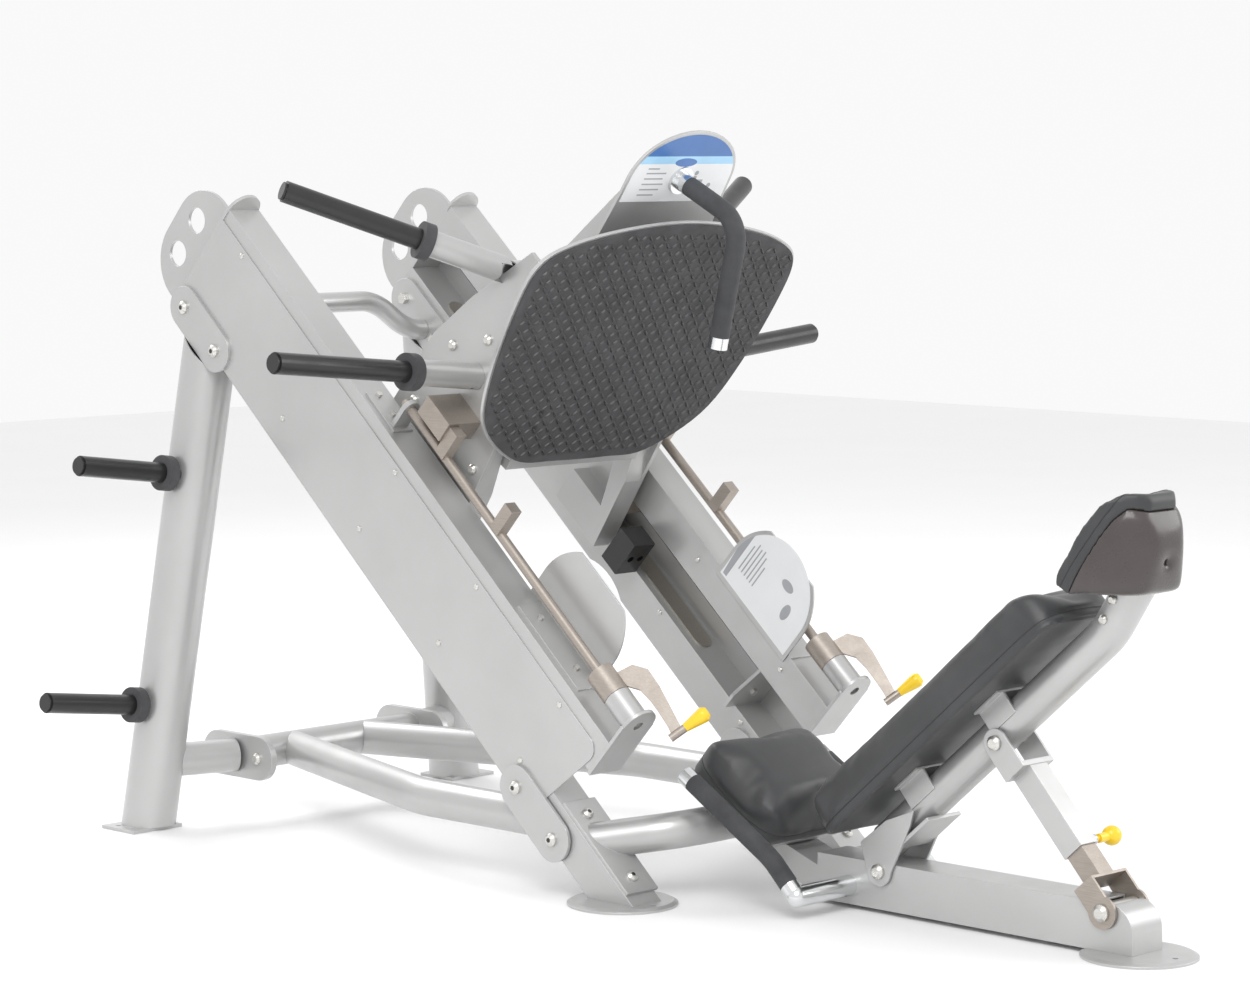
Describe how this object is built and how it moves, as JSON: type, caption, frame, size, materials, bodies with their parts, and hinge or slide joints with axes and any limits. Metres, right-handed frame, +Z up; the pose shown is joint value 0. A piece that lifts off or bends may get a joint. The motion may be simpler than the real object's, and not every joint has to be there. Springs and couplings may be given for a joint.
{
  "type": "plate-loaded leg press machine",
  "caption": "Inclined sled leg press: foot plate on two rail towers, plate pegs, twin safety locks with cranks, fixed seat and adjustable backrest on a base beam.",
  "frame": {"origin": "floor level, at the middle of the footprint of the whole machine", "axes": "+Y towards the tall rail end, -Y towards the head pad, +X to the sitter's right, +Z up"},
  "size_m": [1.7316, 2.7633, 1.6527],
  "materials": {
    "powder_coat": "semi-gloss silver-grey powder coat",
    "nickel_plate": "satin nickel plate, slightly warm",
    "polished_rod": "polished",
    "black_sleeve": "satin black sleeve",
    "grey_rubber": "matt dark grey",
    "upholstery": "grained dark charcoal vinyl",
    "moulded_shell": "satin dark grey-brown",
    "yellow_grip": "glossy yellow"
  },
  "bodies": {
    "frame": {"left_rail_lower": "powder_coat", "right_rail_lower": "powder_coat", "left_rail_upper": "powder_coat", "right_rail_upper": "powder_coat", "left_cover": "powder_coat", "right_cover": "powder_coat", "left_top_plate": "powder_coat", "right_top_plate": "powder_coat", "left_bottom_plate": "powder_coat", "right_bottom_plate": "powder_coat", "guide_rods": "polished_rod", "wear_strips": "nickel_plate", "gussets": "powder_coat", "left_upright": "powder_coat", "right_upright": "powder_coat", "storage_pegs": "black_sleeve", "storage_collars": "grey_rubber", "rear_cross": "powder_coat", "upper_arch": "powder_coat", "side_tubes": "powder_coat", "lozenge_plates": "powder_coat", "front_arch": "powder_coat", "base_beam": "powder_coat", "floor_discs": "powder_coat", "rod_brackets": "powder_coat", "sign_brackets": "powder_coat", "seat_frame": "powder_coat", "seat_pad": "upholstery", "seat_handles": "polished_rod", "seat_grips": "grey_rubber", "cover_screws": "nickel_plate", "frame_bolts": "nickel_plate", "hinge_bolts": "nickel_plate"},
    "sled": {"left_carriage": "powder_coat", "right_carriage": "powder_coat", "sled_bridge": "powder_coat", "foot_plate": "powder_coat", "foot_mat": "grey_rubber", "sign_panel": "powder_coat", "sled_handle": "polished_rod", "sled_grip": "grey_rubber", "sled_pegs": "black_sleeve", "sled_collars": "grey_rubber", "catch_blocks": "nickel_plate", "bumpers": "black_sleeve", "rod_bearings": "nickel_plate", "rollers": "black_sleeve", "sled_bolts": "nickel_plate"},
    "left_lock": {"left_lock_rod": "nickel_plate", "left_lock_knob": "yellow_grip"},
    "right_lock": {"right_lock_rod": "nickel_plate", "right_lock_knob": "yellow_grip"},
    "backrest": {"back_tube": "powder_coat", "back_pad": "upholstery", "head_shell": "moulded_shell", "head_pad": "upholstery", "back_bolts": "nickel_plate"},
    "strut_upper": {"strut_outer": "powder_coat"},
    "strut_lower": {"strut_inner": "nickel_plate"},
    "puller": {"pull_pin": "yellow_grip"}
  },
  "joints": [
    {"name": "sled_slide", "type": "slide", "parent": "frame", "child": "sled", "axis": [0, 0.7431, 0.6691], "range_m": [0, 0.25]},
    {"name": "left_lock_turn", "type": "hinge", "parent": "frame", "child": "left_lock", "pos_m": [-0.352, 0.13657, 0.69645], "axis": [0, -0.7431, -0.6691], "range_deg": [0, 75]},
    {"name": "right_lock_turn", "type": "hinge", "parent": "frame", "child": "right_lock", "pos_m": [0.352, 0.13657, 0.69645], "axis": [0, 0.7431, 0.6691], "range_deg": [0, 60]},
    {"name": "backrest_tilt", "type": "hinge", "parent": "frame", "child": "backrest", "pos_m": [0, -0.6246, 0.093], "axis": [-1, 0, 0], "range_deg": [0, 15]},
    {"name": "strut_swing", "type": "hinge", "parent": "backrest", "child": "strut_upper", "pos_m": [0, -0.9286, 0.401], "axis": [1, 0, 0], "range_deg": [0, 13.5]},
    {"name": "strut_slide", "type": "slide", "parent": "strut_upper", "child": "strut_lower", "axis": [0, -0.6704, -0.742], "range_m": [0, 0.114]},
    {"name": "pin_pull", "type": "slide", "parent": "strut_upper", "child": "puller", "axis": [1, 0, 0], "range_m": [0, 0.012], "stiffness_N_per_m": 500, "springref_m": -0.01}
  ],
  "couplings": [
    {"joint": "strut_swing", "follows": "backrest_tilt", "ratio": 0.86},
    {"joint": "strut_slide", "follows": "backrest_tilt", "m_per_rad": 0.428}
  ]
}
